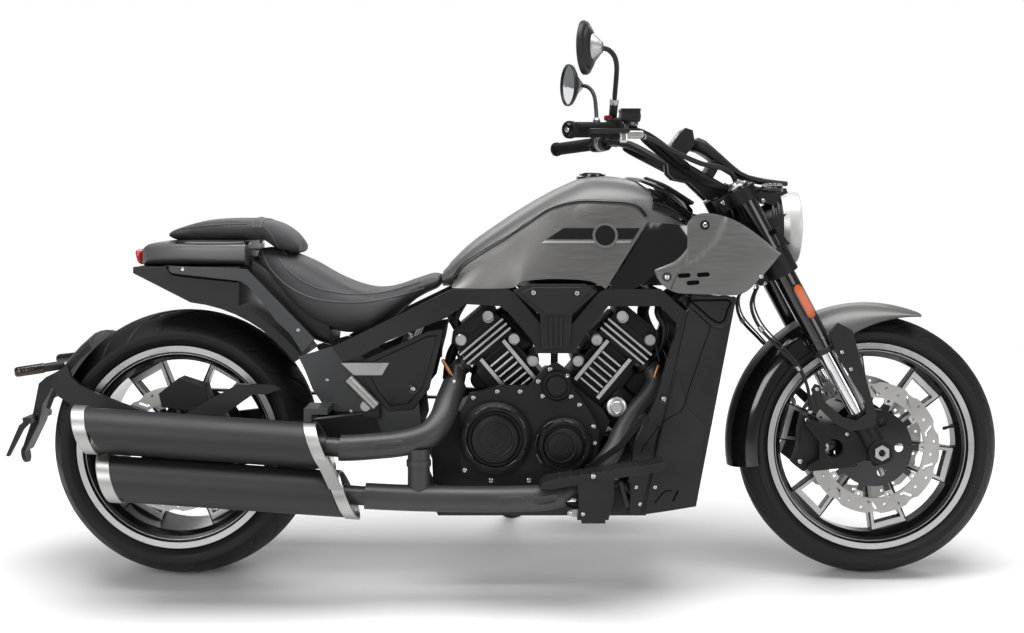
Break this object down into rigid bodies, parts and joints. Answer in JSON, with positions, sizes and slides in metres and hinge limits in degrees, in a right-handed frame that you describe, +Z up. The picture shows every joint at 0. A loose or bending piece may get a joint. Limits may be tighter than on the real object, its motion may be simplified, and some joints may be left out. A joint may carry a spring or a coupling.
{
  "type": "cruiser motorcycle",
  "caption": "Low cruiser motorcycle with a V-twin engine, belt drive and forked alloy wheels, leaning on its side stand.",
  "frame": {"origin": "centre of the outline on the ground, under the parked machine", "axes": "+X forward, +Y to the rider's left, +Z up; the machine leans 9 degrees towards +Y on its stand"},
  "size_m": [2.431, 0.9447, 1.3596],
  "materials": {
    "frame_black": "satin",
    "body_grey": "matte metallic",
    "panel_grey": "brushed metallic",
    "shroud_silver": "satin metallic",
    "black_plastic": "matte",
    "engine_black": "satin",
    "radiator_black": "painted",
    "exhaust_black": "matte",
    "bright_steel": "brushed",
    "chrome": "polished",
    "steering_black": "satin",
    "caliper_black": "painted",
    "wheel_alloy": "machined and painted",
    "alloy": "satin",
    "seat_grey": "grained",
    "tyre": "matte",
    "rubber": "matte",
    "red_lens": "gloss",
    "clear_lens": "clear",
    "mirror_black": "gloss",
    "stand_black": "satin"
  },
  "bodies": {
    "frame": {"main_frame": "frame_black", "rear_frame": "frame_black", "lower_frame": "frame_black", "swingarm": "frame_black", "rear_spindle": "bright_steel", "rear_shock": "alloy", "crankcase": "engine_black", "engine_covers": "engine_black", "rear_cylinder": "engine_black", "front_cylinder": "engine_black", "airbox": "black_plastic", "fuel_tank": "body_grey", "tank_panels": "panel_grey", "shoulder_panels": "black_plastic", "front_shrouds": "shroud_silver", "radiator_shrouds": "black_plastic", "radiator": "radiator_black", "rider_seat": "seat_grey", "passenger_seat": "seat_grey", "tail_body": "body_grey", "rear_fender": "black_plastic", "tail_lamp": "red_lens", "side_covers": "black_plastic", "header_pipes": "exhaust_black", "header_shields": "exhaust_black", "silencers": "exhaust_black", "silencer_trim": "bright_steel", "floorboards": "rubber", "foot_controls": "alloy", "plate_holder": "black_plastic", "rear_caliper": "caliper_black", "drive_belt": "rubber", "passenger_pegs": "alloy"},
    "steering": {"yokes": "steering_black", "fork_tubes": "steering_black", "fork_sliders": "chrome", "axle_clamps": "steering_black", "front_fender": "body_grey", "fender_brackets": "black_plastic", "headlamp": "black_plastic", "headlamp_lens": "clear_lens", "instrument": "black_plastic", "handlebar": "steering_black", "grips": "rubber", "bar_controls": "black_plastic", "mirrors": "mirror_black", "front_calipers": "caliper_black", "brake_hoses": "rubber", "front_spindle": "bright_steel"},
    "front_wheel": {"front_rim": "wheel_alloy", "front_tyre": "tyre", "front_discs": "bright_steel"},
    "rear_wheel": {"rear_rim": "wheel_alloy", "rear_tyre": "tyre", "rear_disc": "bright_steel", "rear_pulley": "alloy"},
    "side_stand": {"side_stand": "stand_black"}
  },
  "joints": [
    {"name": "steer", "type": "hinge", "parent": "frame", "child": "steering", "pos_m": [0.86118, -0.1489, 0.29736], "axis": [-0.4695, 0.1381, 0.8721], "range_deg": [-30, 30]},
    {"name": "front_wheel_spin", "type": "hinge", "parent": "steering", "child": "front_wheel", "pos_m": [0.8965, -0.14597, 0.31591], "axis": [0, 0.9877, -0.1564], "continuous": true},
    {"name": "rear_wheel_spin", "type": "hinge", "parent": "frame", "child": "rear_wheel", "pos_m": [-0.7885, -0.14489, 0.32272], "axis": [0, 0.9877, -0.1564], "continuous": true},
    {"name": "side_stand_fold", "type": "hinge", "parent": "frame", "child": "side_stand", "pos_m": [-0.0435, -0.00181, 0.13934], "axis": [0.0805, 0.577, 0.8128], "range_deg": [0, 100]}
  ]
}
